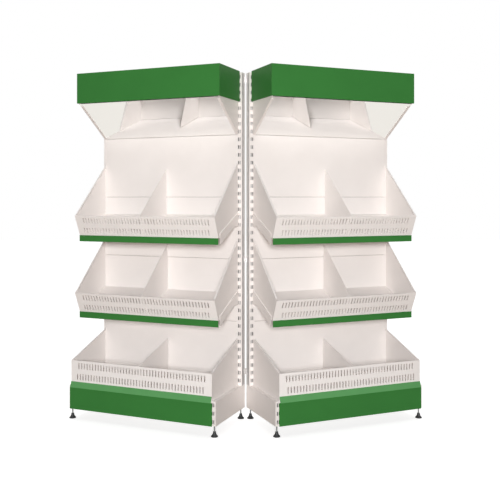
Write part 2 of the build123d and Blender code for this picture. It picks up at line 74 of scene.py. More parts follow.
camera = bpy.data.cameras.new("camera")
camera.lens = lens_mm
camera.sensor_width = sensor_mm
camera.shift_x = shift_right
camera.shift_y = -shift_down
camera_object = bpy.data.objects.new("camera", camera)
middle_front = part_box("left_inner_upright")[0].y
camera_object.location = (0, middle_front - camera_distance, camera_height)
camera_object.rotation_euler = (math.radians(90), 0, 0)
scene.collection.objects.link(camera_object)
scene.camera = camera_object
print("camera:", lens_mm, "mm lens at", camera_distance, "m")

# %% [markdown]
# ## Light and floor
# A studio for catalogue pictures has one large soft light behind the camera and white all round it.
# Here a round area lamp is the soft light. A sun would reach every height alike, but a lamp at a real
# distance looks down into the low baskets and straight into the high ones. The world fills the shadows
# a little. It is brighter behind the rack, so that the back of the panels doesn't sink into grey, and
# straight overhead, like a ceiling panel, so that the tops of the canopies look as white as they are.
# Only the camera sees the world as pure white, so the background is white without more light falling
# on the paint. A mirror shows a greyer, warmer room. The floor works in the same way: it looks pale, but
# it throws back only the weak, warm light of a wooden floor.

# %% Light
key_power = 526.0
key_size = 1.4
key_distance = 8.0
key_height = 2.1
key_aim_height = 1.1
fill_strength = 0.05
rear_fill_strength = 0.9
rear_fill_from, rear_fill_full = 0.0, 0.6
overhead_strength = 1.8
overhead_from, overhead_full = 0.9, 0.97
mirrored_share = 0.71
mirrored_colour = (1.0, 0.965, 0.88, 1)

scene.view_settings.view_transform = "Standard"
key = bpy.data.lights.new("key", "AREA")
key.shape = "DISK"
key.size = key_size
key.energy = key_power
key_object = bpy.data.objects.new("key", key)
key_object.location = (0, middle_front - key_distance, key_height)
key_dip = math.atan2(key_height - key_aim_height, key_distance)
key_object.rotation_euler = (math.radians(90) - key_dip, 0, 0)
key_object.visible_camera = False
scene.collection.objects.link(key_object)


def add_node(tree, kind, inputs=None, **settings):
    """Adds one node. Its inputs are named or numbered, each a value, a socket or a list of sockets."""
    node = tree.nodes.new(kind)
    for name, value in settings.items():
        setattr(node, name, value)
    for name, value in (inputs or {}).items():
        for one in value if isinstance(value, list) else [value]:
            if isinstance(one, bpy.types.NodeSocket):
                tree.links.new(one, node.inputs[name])
            else:
                node.inputs[name].default_value = one
    return node


def calculate(tree, operation, *values):
    """The result of a Math node."""
    return add_node(tree, "ShaderNodeMath", dict(enumerate(values)), operation=operation).outputs[0]


def ranged(tree, value, start, end, low, high):
    """A value that runs from low to high as another one runs from start to end."""
    inputs = {"Value": value, "From Min": start, "From Max": end, "To Min": low, "To Max": high}
    return add_node(tree, "ShaderNodeMapRange", inputs).outputs[0]


def coordinates(tree, kind):
    """Texture coordinates of that kind."""
    return add_node(tree, "ShaderNodeTexCoord").outputs[kind]


def split(tree, place):
    """The X, Y and Z of a place."""
    return add_node(tree, "ShaderNodeSeparateXYZ", {0: place}).outputs


def mix_colour(tree, factor, first, second):
    """A blend of two colours by a factor. A Mix node has its colour sockets under these numbers."""
    inputs = {0: factor, 6: first, 7: second}
    return add_node(tree, "ShaderNodeMix", inputs, data_type="RGBA").outputs[2]


def seen_directly(tree):
    """1 for what the camera sees, less for what a mirror shows and 0 for light on its way to paint."""
    path = add_node(tree, "ShaderNodeLightPath").outputs
    return calculate(tree, "MULTIPLY_ADD", path["Is Glossy Ray"], mirrored_share, path["Is Camera Ray"])


def room_colour(tree):
    """White, and warmer in a mirror."""
    mirrored = add_node(tree, "ShaderNodeLightPath").outputs["Is Glossy Ray"]
    return mix_colour(tree, mirrored, (1, 1, 1, 1), mirrored_colour)


world = bpy.data.worlds.new("studio")
world.use_nodes = True
scene.world = world
background = world.node_tree.nodes["Background"]
sky = world.node_tree
sky.links.new(room_colour(sky), background.inputs["Color"])
towards = split(sky, coordinates(sky, "Generated"))
level_fill = ranged(sky, towards["Y"], rear_fill_from, rear_fill_full, fill_strength, rear_fill_strength)
overhead = ranged(sky, towards["Z"], overhead_from, overhead_full, 0.0, overhead_strength)
fill = calculate(sky, "ADD", level_fill, overhead)
rest = calculate(sky, "SUBTRACT", 1.0, fill)
sky_level = calculate(sky, "MULTIPLY_ADD", seen_directly(sky), rest, fill)
sky.links.new(sky_level, background.inputs["Strength"])
print("light: a lamp of", key_power, "W and fill", fill_strength, "to", rear_fill_strength)
print("overhead:", overhead_strength)

# %% Floor
floor_reach = 20.0
floor_colour = (0.6, 0.6, 0.6, 1)
floor_bounce = (0.3, 0.23, 0.18, 1)
near_lift, far_lift = 0.695, 0.815
lift_front, lift_back = 1.2, 5.0

floor_mesh = bpy.data.meshes.new("floor")
corner_signs = ((-1, -1), (1, -1), (1, 1), (-1, 1))
floor_corners = [(x * floor_reach, y * floor_reach, 0) for x, y in corner_signs]
floor_mesh.from_pydata(floor_corners, [], [(0, 1, 2, 3)])
floor = bpy.data.objects.new("floor", floor_mesh)
scene.collection.objects.link(floor)
floor_paper = bpy.data.materials.new("floor_paper")
floor_paper.use_nodes = True
paper_tree = floor_paper.node_tree
paper_tree.nodes.clear()
seen = seen_directly(paper_tree)
paper_colour = mix_colour(paper_tree, seen, floor_bounce, floor_colour)
matte = add_node(paper_tree, "ShaderNodeBsdfDiffuse", {"Color": paper_colour})
depth = split(paper_tree, coordinates(paper_tree, "Object"))["Y"]
lift_start, lift_end = middle_front - lift_front, middle_front + lift_back
lift = ranged(paper_tree, depth, lift_start, lift_end, near_lift, far_lift)
shown = calculate(paper_tree, "MULTIPLY", seen, lift)
glow = add_node(paper_tree, "ShaderNodeEmission", {"Color": room_colour(paper_tree), "Strength": shown})
both = add_node(paper_tree, "ShaderNodeAddShader", {0: matte.outputs[0], 1: glow.outputs[0]})
add_node(paper_tree, "ShaderNodeOutputMaterial", {"Surface": both.outputs[0]})
floor_mesh.materials.append(floor_paper)
print("floor:", 2 * floor_reach, "m square")

# %% [markdown]
# ## Shared surface effects
# Powder paint is sprayed dry and melted in an oven. It sets with a fine orange-peel skin, and its
# tone drifts a little over a large sheet. Hands and crates leave faint scuffs. Every painted piece
# needs these effects, so each is a node group that is built once and given its own values in each
# material. They read Object coordinates in metres, so the grain has its real size on every piece.


# %% Shared groups
def new_group(name, inputs, outputs):
    """An empty shader group with float inputs {name: value} and float outputs."""
    tree = bpy.data.node_groups.new(name, "ShaderNodeTree")
    for label, value in inputs.items():
        socket = tree.interface.new_socket(label, in_out="INPUT", socket_type="NodeSocketFloat")
        socket.default_value = value
    for label in outputs:
        tree.interface.new_socket(label, in_out="OUTPUT", socket_type="NodeSocketFloat")
    starts, ends = tree.nodes.new("NodeGroupInput").outputs, tree.nodes.new("NodeGroupOutput").inputs
    return tree, starts, ends, coordinates(tree, "Object")


def noise(tree, place, scale, detail, roughness=0.5):
    """The value of a noise texture, between 0 and 1."""
    inputs = {"Vector": place, "Scale": scale, "Detail": detail, "Roughness": roughness}
    return add_node(tree, "ShaderNodeTexNoise", inputs).outputs["Fac"]


def ramp(tree, value, low, high):
    """0 below low, 1 above high and a smooth rise between them."""
    inputs = {"Value": value, "From Min": low, "From Max": high}
    return add_node(tree, "ShaderNodeMapRange", inputs, interpolation_type="SMOOTHSTEP").outputs[0]


peel_detail = 2.0
drift_detail, drift_grain = 3.0, 0.6
drift_low, drift_high = 0.3, 0.7

coat_skin, skin_in, skin_out, skin_place = new_group(
    "coat_skin", {"Peel per metre": 350.0, "Drift per metre": 4.0}, ["Height", "Drift"]
)
peel = noise(coat_skin, skin_place, skin_in["Peel per metre"], peel_detail)
drift = noise(coat_skin, skin_place, skin_in["Drift per metre"], drift_detail, drift_grain)
coat_skin.links.new(peel, skin_out["Height"])
coat_skin.links.new(ramp(coat_skin, drift, drift_low, drift_high), skin_out["Drift"])

streak_stretch = (1.0, 1.0, 5.0)
streak_detail, streak_grain = 6.0, 0.7
streak_low, streak_high = 0.6, 0.72
patches_per_metre, patch_detail = 2.3, 2.0
patch_low, patch_high = 0.45, 0.65

handling, hand_in, hand_out, hand_place = new_group(
    "handling", {"Scuffs per metre": 9.0, "Amount": 0.5}, ["Scuffs", "Film"]
)
mapping = add_node(handling, "ShaderNodeMapping", {"Vector": hand_place, "Scale": streak_stretch})
streaks = noise(handling, mapping.outputs[0], hand_in["Scuffs per metre"], streak_detail, streak_grain)
patches = noise(handling, hand_place, patches_per_metre, patch_detail)
streaked = ramp(handling, streaks, streak_low, streak_high)
handled = ramp(handling, patches, patch_low, patch_high)
worn = calculate(handling, "MULTIPLY", streaked, handled)
scuffs = calculate(handling, "MULTIPLY", worn, hand_in["Amount"])
handling.links.new(scuffs, hand_out["Scuffs"])
handling.links.new(patches, hand_out["Film"])
print("groups:", coat_skin.name, handling.name)

# %% [markdown]
# ## Finishes
# The rack is painted white, green and light green. The punched fronts take a lighter copy of the white,
# which is painted light that brings them up to the brightness of the panels. The rest is mirror, black
# plastic and zinc-plated steel, which is bright on flat strip and duller on bolts, studs and the painted
# shade lining inside the tubes. Each material is one Principled shader.
# Values that stay the same all over sit on the shader's own sockets, and only what changes over the
# surface is linked.


# %% Tools for materials
def new_material(name, **constants):
    """A material with a Principled shader, whose constant sockets are given with _ for spaces."""
    material = bpy.data.materials.new(name)
    material.use_nodes = True
    tree = material.node_tree
    shader = tree.nodes["Principled BSDF"]
    for label, value in constants.items():
        shader.inputs[label.replace("_", " ")].default_value = value
    return material, tree, shader


def group_node(tree, group, **inputs):
    """The outputs of a shared group in a material, with its inputs given with _ for spaces."""
    node = add_node(tree, "ShaderNodeGroup", node_tree=group)
    for label, value in inputs.items():
        node.inputs[label.replace("_", " ")].default_value = value
    return node.outputs


def between(tree, factor, low, high):
    """A value that runs from low to high as factor runs from 0 to 1."""
    return calculate(tree, "MULTIPLY_ADD", factor, high - low, low)


def bumped(tree, shader, height, strength, distance):
    """Gives the shader a bump of that height map."""
    inputs = {"Height": height, "Strength": strength, "Distance": distance}
    bump = add_node(tree, "ShaderNodeBump", inputs)
    tree.links.new(bump.outputs[0], shader.inputs["Normal"])


tools = (new_material, group_node, between, bumped)
print("tools:", ", ".join(tool.__name__ for tool in tools))

# %% Powder paint
paint_gloss = 0.08
paint_roughness = (0.34, 0.5)
peel_strength, peel_depth = 0.12, 0.0004


def powder_paint(name, colour, drifted, scuffed, scuff_amount):
    """Powder paint: a main colour, the tone that it drifts to and the tone of its scuffs."""
    material, tree, shader = new_material(name, Specular_IOR_Level=paint_gloss)
    skin = group_node(tree, coat_skin)
    hands = group_node(tree, handling, Amount=scuff_amount)
    drifting = mix_colour(tree, skin["Drift"], colour, drifted)
    tree.links.new(mix_colour(tree, hands["Scuffs"], drifting, scuffed), shader.inputs["Base Color"])
    tree.links.new(between(tree, hands["Film"], *paint_roughness), shader.inputs["Roughness"])
    bumped(tree, shader, skin["Height"], peel_strength, peel_depth)
    return material


white_paint = powder_paint(
    "white_paint", (0.885, 0.84, 0.815, 1), (0.86, 0.815, 0.79, 1), (0.62, 0.58, 0.56, 1), 0.12
)
# A lighter copy of the white paint: painted light on the punched fronts.
front_white_painted_light = powder_paint(
    "front_white_painted_light", (0.935, 0.895, 0.873, 1), (0.912, 0.872, 0.85, 1), (0.66, 0.62, 0.6, 1), 0.12
)
green_paint = powder_paint(
    "green_paint", (0.044, 0.209, 0.045, 1), (0.0415, 0.196, 0.0425, 1), (0.072, 0.24, 0.073, 1), 0.2
)
light_green_paint = powder_paint(
    "light_green_paint", (0.116, 0.345, 0.121, 1), (0.109, 0.327, 0.114, 1), (0.155, 0.38, 0.16, 1), 0.25
)
paints = (white_paint, front_white_painted_light, green_paint, light_green_paint)
print("paints:", ", ".join(paint.name for paint in paints))

# %% Mirror, zinc and black plastic
mirror_colour = (0.97, 0.975, 0.975, 1)
mirror_roughness = (0.02, 0.09)
smears_per_metre, smear_amount = 6.0, 1.0

mirror, tree, shader = new_material("mirror", Base_Color=mirror_colour, Metallic=1.0)
smears = group_node(tree, handling, Scuffs_per_metre=smears_per_metre, Amount=smear_amount)
tree.links.new(between(tree, smears["Scuffs"], *mirror_roughness), shader.inputs["Roughness"])

spangles_per_metre = 180.0
zinc_grain_per_metre = 900.0
zinc_roughness = (0.4, 0.58)
zinc_bump, zinc_depth = 0.1, 0.0003


def zinc_plate(name, bright, dull):
    """Zinc-plated steel with a fine spangle between a bright and a dull tone."""
    material, tree, shader = new_material(name, Metallic=1.0)
    inputs = {"Vector": coordinates(tree, "Object"), "Scale": spangles_per_metre}
    spangle = add_node(tree, "ShaderNodeTexVoronoi", inputs).outputs["Distance"]
    skin = group_node(tree, coat_skin, Peel_per_metre=zinc_grain_per_metre)
    tree.links.new(mix_colour(tree, spangle, bright, dull), shader.inputs["Base Color"])
    tree.links.new(between(tree, skin["Drift"], *zinc_roughness), shader.inputs["Roughness"])
    bumped(tree, shader, skin["Height"], zinc_bump, zinc_depth)
    return material


zinc_steel = zinc_plate("zinc_steel", (0.46, 0.47, 0.48, 1), (0.34, 0.35, 0.36, 1))
bright_zinc = zinc_plate("bright_zinc", (0.715, 0.7, 0.697, 1), (0.635, 0.622, 0.62, 1))

foot_colour, foot_scuffed = (0.028, 0.03, 0.033, 1), (0.1, 0.1, 0.1, 1)
foot_gloss = 0.4
foot_roughness = (0.42, 0.58)
foot_grain_per_metre = 1500.0
foot_scuffs_per_metre, foot_scuff_amount = 60.0, 0.35
foot_bump, foot_depth = 0.25, 0.0002

foot_black, tree, shader = new_material("foot_black", Specular_IOR_Level=foot_gloss)
skin = group_node(tree, coat_skin, Peel_per_metre=foot_grain_per_metre)
hands = group_node(tree, handling, Scuffs_per_metre=foot_scuffs_per_metre, Amount=foot_scuff_amount)
moulded = mix_colour(tree, hands["Scuffs"], foot_colour, foot_scuffed)
tree.links.new(moulded, shader.inputs["Base Color"])
tree.links.new(between(tree, skin["Drift"], *foot_roughness), shader.inputs["Roughness"])
bumped(tree, shader, skin["Height"], foot_bump, foot_depth)

finishes = {
    "white_paint": white_paint,
    "green_paint": green_paint,
    "light_green_paint": light_green_paint,
    "mirror": mirror,
    "zinc_steel": bright_zinc,
    "foot_black": foot_black,
}
print("finishes:", ", ".join(finishes))

# %% [markdown]
# ## Paint the frame
# The record says which finish each solid has. The solids that stay in view only need their material.

# %% Paint the solids
for part in frame["record"]["subparts"]:
    mesh = frame["nodes"][part["node"]].data
    mesh.materials.clear()
    mesh.materials.append(finishes[part["material_slot"]])

# %% [markdown]
# ## Places to work from
# Each bay has its own axes: across the bay, to its back and up, from the middle of the bay on the
# floor below the faces of the uprights. They are measured from the uprights and the base deck, so what
# is added lands on the solids wherever the bays stand.


# %% Bay axes
def box_in(node, place):
    """Lowest and highest corner of a CAD node along the axes of a place."""
    to_place = place.inverted()
    points = [to_place @ vertex.co for vertex in frame["nodes"][node].data.vertices]
    columns = list(zip(*points))
    return Vector(min(c) for c in columns), Vector(max(c) for c in columns)


def middle(node):
    """The middle of a CAD node's box."""
    low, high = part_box(node)
    return (low + high) / 2


def bay_axes(bay, outward):
    """The place of a bay. Outward is -1 for the left bay and 1 for the right one."""
    inner, outer = middle(f"{bay}_inner_upright"), middle(f"{bay}_outer_upright")
    across = outward * (outer - inner).normalized()
    up = Vector((0, 0, 1))
    back = up.cross(across)
    axes = Matrix((across, back, up)).transposed().to_4x4()
    deck_low, deck_high = box_in(f"{bay}_base_deck", axes)
    upright_face = box_in(f"{bay}_inner_upright", axes)[0].y
    return axes @ Matrix.Translation(((deck_low.x + deck_high.x) / 2, upright_face, 0))


sides = {"left": -1, "right": 1}
bays = {bay: bay_axes(bay, outward) for bay, outward in sides.items()}
for bay, place in bays.items():
    print(bay, "bay at", [round(v, 3) for v in place.translation])

# %% [markdown]
# ## Slit fronts
# The basket fronts are punched with two rows of narrow slits, so that air reaches the produce. The
# rows are half a pitch apart. The slits could be cut with a boolean, but hundreds of cuts are slow and
# leave ragged faces. Geometry Nodes draw the slits as outlines instead, fill the sheet around them
# and give it thickness, so the number, the pitch and the size stay plain inputs.


# %% Tools for Geometry Nodes
weld_distance = 1e-6


def new_tree(name, inputs):
    """An empty Geometry Nodes tree with named inputs {name: socket kind}."""
    tree = bpy.data.node_groups.new(name, "GeometryNodeTree")
    tree.interface.new_socket("Geometry", in_out="OUTPUT", socket_type="NodeSocketGeometry")
    for label, kind in inputs.items():
        tree.interface.new_socket(label, in_out="INPUT", socket_type="NodeSocket" + kind)
    return tree, tree.nodes.new("NodeGroupInput").outputs, tree.nodes.new("NodeGroupOutput").inputs


def vector(tree, x=0.0, y=0.0, z=0.0):
    """A vector of three values or sockets."""
    return add_node(tree, "ShaderNodeCombineXYZ", {"X": x, "Y": y, "Z": z}).outputs[0]


def moved(tree, geometry, offset):
    """A geometry, moved by an offset."""
    inputs = {"Geometry": geometry, "Translation": offset}
    return add_node(tree, "GeometryNodeTransform", inputs).outputs[0]


def joined(tree, *geometries):
    """Several geometries as one."""
    return add_node(tree, "GeometryNodeJoinGeometry", {"Geometry": list(geometries)}).outputs[0]


def finish_tree(tree, geometry, material, output):
    """Realize Instances, merge what meets and set the material."""
    real = add_node(tree, "GeometryNodeRealizeInstances", {"Geometry": geometry}).outputs[0]
    inputs = {"Geometry": real, "Distance": weld_distance}
    welded = add_node(tree, "GeometryNodeMergeByDistance", inputs).outputs[0]
    inputs = {"Geometry": welded, "Material": material}
    tree.links.new(add_node(tree, "GeometryNodeSetMaterial", inputs).outputs[0], output)


def grow(name, tree, values, start=None):
    """Runs a tree once, from the mesh start if it needs one, and keeps the result as a plain mesh."""
    piece = bpy.data.objects.new(name, start or bpy.data.meshes.new(name))
    scene.collection.objects.link(piece)
    modifier = piece.modifiers.new("grow", "NODES")
    modifier.node_group = tree
    for socket in tree.interface.items_tree:
        if socket.in_out == "INPUT" and socket.name in values:
            modifier[socket.identifier] = values[socket.name]
    evaluated = piece.evaluated_get(bpy.context.evaluated_depsgraph_get())
    mesh = bpy.data.meshes.new_from_object(evaluated)
    piece.modifiers.clear()
    piece.data = mesh
    return piece


print("weld distance:", weld_distance, "m")

# %% The tree of a slit front
slit_end_share = 0.48
slit_end_points = 3

slit_tree, sheet_in, sheet_out = new_tree(
    "slit_front",
    {
        "Length": "Float",
        "Height": "Float",
        "Sheet": "Float",
        "Slit width": "Float",
        "Slit height": "Float",
        "Pitch": "Float",
        "Slits in a row": "Int",
        "Lower row": "Float",
        "Upper row": "Float",
        "Stagger": "Float",
        "Hem": "Float",
        "Hem inset": "Float",
        "Flange": "Float",
        "Flange inset": "Float",
        "Material": "Material",
    },
)


def slit_row(tree, sizes, height, shift):
    """Outlines of one row of slits with round ends, centred on x = shift."""
    inputs = {"Width": sizes["Slit width"], "Height": sizes["Slit height"]}
    outline = add_node(tree, "GeometryNodeCurvePrimitiveQuadrilateral", inputs).outputs[0]
    end_radius = calculate(tree, "MULTIPLY", sizes["Slit width"], slit_end_share)
    inputs = {"Curve": outline, "Count": slit_end_points, "Radius": end_radius}
    rounded = add_node(tree, "GeometryNodeFilletCurve", inputs, mode="POLY").outputs[0]
    gaps = calculate(tree, "SUBTRACT", sizes["Slits in a row"], 1.0)
    half_row = calculate(tree, "MULTIPLY", calculate(tree, "MULTIPLY", gaps, sizes["Pitch"]), -0.5)
    first = vector(tree, calculate(tree, "ADD", half_row, shift), height)
    step = vector(tree, sizes["Pitch"])
    inputs = {"Count": sizes["Slits in a row"], "Start Location": first, "Offset": step}
    line = add_node(tree, "GeometryNodeMeshLine", inputs).outputs[0]
    inputs = {"Points": line, "Instance": rounded}
    spread = add_node(tree, "GeometryNodeInstanceOnPoints", inputs).outputs[0]
    return add_node(tree, "GeometryNodeRealizeInstances", {"Geometry": spread}).outputs[0]


def thickened(tree, flat, thickness):
    """A flat sheet that faces +Z, made solid downwards."""
    down = calculate(tree, "MULTIPLY", thickness, -1.0)
    inputs = {"Mesh": flat, "Offset Scale": down, "Individual": False}
    sunk = add_node(tree, "GeometryNodeExtrudeMesh", inputs).outputs[0]
    rest = add_node(tree, "GeometryNodeFlipFaces", {"Mesh": sunk}).outputs[0]
    return joined(tree, flat, rest)


def behind(tree, sizes, inset, low, high, near, far):
    """A strip behind the plate, with an inset at each end, from low to high and from near to far."""
    length = calculate(tree, "MULTIPLY_ADD", inset, -2.0, sizes["Length"])
    tall, deep = calculate(tree, "SUBTRACT", high, low), calculate(tree, "SUBTRACT", far, near)
    cube = add_node(tree, "GeometryNodeMeshCube", {"Size": vector(tree, length, tall, deep)}).outputs[0]
    up = calculate(tree, "MULTIPLY", calculate(tree, "ADD", low, high), 0.5)
    back = calculate(tree, "MULTIPLY", calculate(tree, "ADD", near, far), -0.5)
    return moved(tree, cube, vector(tree, y=up, z=back))


long, high, sheet = sheet_in["Length"], sheet_in["Height"], sheet_in["Sheet"]
inputs = {"Width": long, "Height": high}
outline = add_node(slit_tree, "GeometryNodeCurvePrimitiveQuadrilateral", inputs).outputs[0]
half_height = calculate(slit_tree, "MULTIPLY", high, 0.5)
outline = moved(slit_tree, outline, vector(slit_tree, y=half_height))
lower = slit_row(slit_tree, sheet_in, sheet_in["Lower row"], sheet_in["Stagger"])
back_shift = calculate(slit_tree, "MULTIPLY", sheet_in["Stagger"], -1.0)
upper = slit_row(slit_tree, sheet_in, sheet_in["Upper row"], back_shift)
drawn = joined(slit_tree, outline, lower, upper)
flat = add_node(slit_tree, "GeometryNodeFillCurve", {"Curve": drawn}, mode="TRIANGLES").outputs[0]
plate = thickened(slit_tree, flat, sheet)
hem_low = calculate(slit_tree, "SUBTRACT", high, sheet_in["Hem"])
double = calculate(slit_tree, "MULTIPLY", sheet, 2.0)
hem = behind(slit_tree, sheet_in, sheet_in["Hem inset"], hem_low, high, sheet, double)
flange = behind(slit_tree, sheet_in, sheet_in["Flange inset"], 0.0, sheet, sheet, sheet_in["Flange"])
finish_tree(slit_tree, joined(slit_tree, plate, hem, flange), sheet_in["Material"], sheet_out[0])
print("tree:", slit_tree.name, "with", len(slit_tree.nodes), "nodes")

# %% Six slit fronts
shelf_tilt = math.radians(24)
slit_width = 0.008
slit_height = 0.04
slit_pitch = 0.0208
slits_in_a_row = 44
slit_top_margin = 0.014
slit_bottom_margin = 0.013
sheet_metal = 0.0012
front_hem = 0.012
front_flange = 0.012
hem_inset = 0.0017
flange_inset = 0.0172


def plate_axes(bay, node, tilt):
    """The place of a basket front: across, up along the plate and out to the customer."""
    leaning = bays[bay] @ Matrix.Rotation(math.radians(90) + tilt, 4, "X")
    low, high = box_in(node, leaning)
    return leaning @ Matrix.Translation((0, low.y, high.z)), high - low


for bay, outward in sides.items():
    for shelf, tilt in (("base", 0), ("lower", shelf_tilt), ("upper", shelf_tilt)):
        node = f"{bay}_{shelf}_front"
        place, size = plate_axes(bay, node, tilt)
        front = grow(
            f"{bay}_{shelf}_slit_front",
            slit_tree,
            {
                "Length": size.x,
                "Height": size.y,
                "Sheet": sheet_metal,
                "Slit width": slit_width,
                "Slit height": slit_height,
                "Pitch": slit_pitch,
                "Slits in a row": slits_in_a_row,
                "Lower row": slit_bottom_margin + slit_height / 2,
                "Upper row": size.y - slit_top_margin - slit_height / 2,
                "Stagger": outward * slit_pitch / 4,
                "Hem": front_hem,
                "Hem inset": hem_inset,
                "Flange": front_flange,
                "Flange inset": flange_inset,
                # The fronts take the lighter white, which is painted light.
                "Material": front_white_painted_light,
            },
        )
        front.data.transform(place)
        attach(front, "rack")
        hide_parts(node)
        print(front.name, len(front.data.polygons), "faces")

# %% [markdown]
# ## Slot pairs
# The uprights and the legs in the middle are punched with pairs of narrow slots, one for the hooks of
# their own bay and one for a bay beside it. The solids have one wide window for each pair. The missing
# piece is the web between the two slots, so a tree repeats a small block of wall up the column, one in
# each window. The slots look dark because the inside of a tube lies in shade. A thin lining of dull zinc
# on the back and side walls paints that shade; it is partly real too, as powder paint does not reach the
# inside of a tube and leaves the zinc bare there.

# %% The tree of a column of webs
web_tree, web_in, web_out = new_tree(
    "slot_webs",
    {
        "Web width": "Float",
        "Slot height": "Float",
        "Wall": "Float",
        "Pitch": "Float",
        "Slots": "Int",
        "Material": "Material",
    },
)
web_size = vector(web_tree, web_in["Web width"], web_in["Wall"], web_in["Slot height"])
web = add_node(web_tree, "GeometryNodeMeshCube", {"Size": web_size}).outputs[0]
inputs = {"Count": web_in["Slots"], "Offset": vector(web_tree, z=web_in["Pitch"])}
column = add_node(web_tree, "GeometryNodeMeshLine", inputs).outputs[0]
inputs = {"Points": column, "Instance": web}
webs = add_node(web_tree, "GeometryNodeInstanceOnPoints", inputs).outputs[0]
finish_tree(web_tree, webs, web_in["Material"], web_out[0])
print("tree:", web_tree.name)

# %% Webs in the middle uprights and legs
slot_pitch = 0.05
slot_height = 0.023
slot_wall = 0.002
web_width = 0.005
shade_lining_sheet = 0.0003
shade_lining_end_gap = 0.008
first_upright_slot = 0.25
upright_slots = 40
first_leg_slot = 0.093
leg_slots = 3


def add_webs(name, place, first, count):
    """A column of webs whose middle line starts at the height first in a place."""
    sizes = {"Web width": web_width, "Slot height": slot_height, "Wall": slot_wall}
    sizes.update({"Pitch": slot_pitch, "Slots": count, "Material": white_paint})
    piece = grow(name, web_tree, sizes)
    piece.data.transform(place @ Matrix.Translation((0, slot_wall / 2, first)))
    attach(piece, "rack")
    print(piece.name, count, "webs")


def add_piece(name, points, faces, material, place):
    """A piece with these points and faces, in a place."""
    mesh = bpy.data.meshes.new(name)
    mesh.from_pydata(points, [], faces)
    mesh.materials.append(material)
    mesh.transform(place)
    piece = bpy.data.objects.new(name, mesh)
    scene.collection.objects.link(piece)
    return piece


def add_shade_lining(name, place, low, high):
    """A channel of dull zinc that paints the shade inside a tube, open to the front, between two corners
    in a place.
    """
    sheet = shade_lining_sheet
    line = [(low.x, low.y), (low.x, high.y), (high.x, high.y), (high.x, low.y)]
    line += [(high.x - sheet, low.y), (high.x - sheet, high.y - sheet)]
    line += [(low.x + sheet, high.y - sheet), (low.x + sheet, low.y)]
    points = [(x, y, z) for z in (low.z, high.z) for x, y in line]
    count = len(line)
    faces = [(k, count + k, count + (k + 1) % count, (k + 1) % count) for k in range(count)]
    for quad in ((0, 1, 6, 7), (1, 2, 5, 6), (2, 3, 4, 5)):
        faces += [quad, tuple(count + k for k in reversed(quad))]
    piece = add_piece(name, points, faces, zinc_steel, place)
    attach(piece, "rack")
    print(name, round(high.z - low.z, 3), "m tall")


for bay, place in bays.items():
    low, high = box_in(f"{bay}_inner_upright", place)
    leg_low, leg_high = box_in(f"{bay}_base_legs", place)
    wall = Vector((slot_wall, slot_wall, shade_lining_end_gap))
    # Dull zinc linings paint the shade inside the upright and the leg.
    add_shade_lining(f"{bay}_upright_shade_lining", place, low + wall, high - wall)
    leg_corner = Vector((low.x, leg_low.y, leg_low.z)) + wall
    leg_end = Vector((high.x, leg_high.y, leg_high.z)) - wall
    add_shade_lining(f"{bay}_leg_shade_lining", place, leg_corner, leg_end)
    upright_middle = place @ Matrix.Translation(((low.x + high.x) / 2, 0, 0))
    add_webs(f"{bay}_upright_webs", upright_middle, first_upright_slot, upright_slots)
    leg_front = upright_middle @ Matrix.Translation((0, leg_low.y, 0))
    add_webs(f"{bay}_leg_webs", leg_front, first_leg_slot, leg_slots)

# %% [markdown]
# ## Panel seams
# The back panels stand on each other, with flanges that turn to the rear at the top and the bottom. A
# zinc tongue on each lower panel fills the seam at the back, so the seam is a dark line and no daylight
# comes through. The tongues repeat up the bay like the webs do, so the same tree makes them.

# %% Tongues in the seams
panel_pitch = 0.4
panel_seams = 4
seam_height = 0.0015
tongue_height = 0.0014
tongue_depth = 0.004

for bay, place in bays.items():
    low, high = box_in(f"{bay}_back_panels", place)
    sizes = {"Web width": high.x - low.x, "Slot height": tongue_height, "Wall": tongue_depth}
    sizes.update({"Pitch": panel_pitch, "Slots": panel_seams, "Material": zinc_steel})
    tongues = grow(f"{bay}_panel_tongues", web_tree, sizes)
    first_seam = low.z + panel_pitch - seam_height
    spot = ((low.x + high.x) / 2, high.y - tongue_depth / 2, first_seam + tongue_height / 2)
    tongues.data.transform(place @ Matrix.Translation(spot))
    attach(tongues, "rack")
    print(tongues.name, panel_seams, "tongues from", round(first_seam, 4), "m")

# %% [markdown]
# ## Painted shade strips
# Between the bays, the sides of the two middle uprights lie in shade and show as grey stripes beside the
# white slots. A thin zinc strip along each side paints that shade over the white paint. They are read as
# a bare zinc strip along each side, where another bay could be bolted on. A strip is one tall block, so
# it is a column of a single web.

# %% Painted shade strips on the middle uprights
shade_strip_sheet = 0.0004
shade_strip_margin = 0.0008

for bay, outward in sides.items():
    place = bays[bay]
    low, high = box_in(f"{bay}_inner_upright", place)
    foot_z = box_in(f"{bay}_base_legs", place)[1].z
    tall = high.z - shade_strip_margin - foot_z
    deep = high.y - low.y - 2 * shade_strip_margin
    sizes = {"Web width": shade_strip_sheet, "Wall": deep, "Slot height": tall, "Pitch": 0.0, "Slots": 1}
    # A zinc strip that paints the shade on the side of the upright.
    strip = grow(f"{bay}_side_shade_strip", web_tree, {**sizes, "Material": bright_zinc})
    side_x = high.x if outward < 0 else low.x
    spot = (side_x - outward * shade_strip_sheet / 2, (low.y + high.y) / 2, foot_z + tall / 2)
    strip.data.transform(place @ Matrix.Translation(spot))
    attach(strip, "rack")
    print(strip.name, round(tall, 3), "m tall")

# %% [markdown]
# ## Bracket edges
# Each tilted basket hangs between two bracket plates. A folded white strip covers the upper edge of a
# plate and the narrow gap beside the basket. It faces up and forward, so it shows as a pale line. The
# strip is a small angle profile, drawn out along the slope of the tray.

# %% Strips on the brackets
bracket_rise = 0.015
edge_sheet = 0.0014
edge_drop = 0.006
edge_gap = 0.0003
edge_end_gap = 0.0012


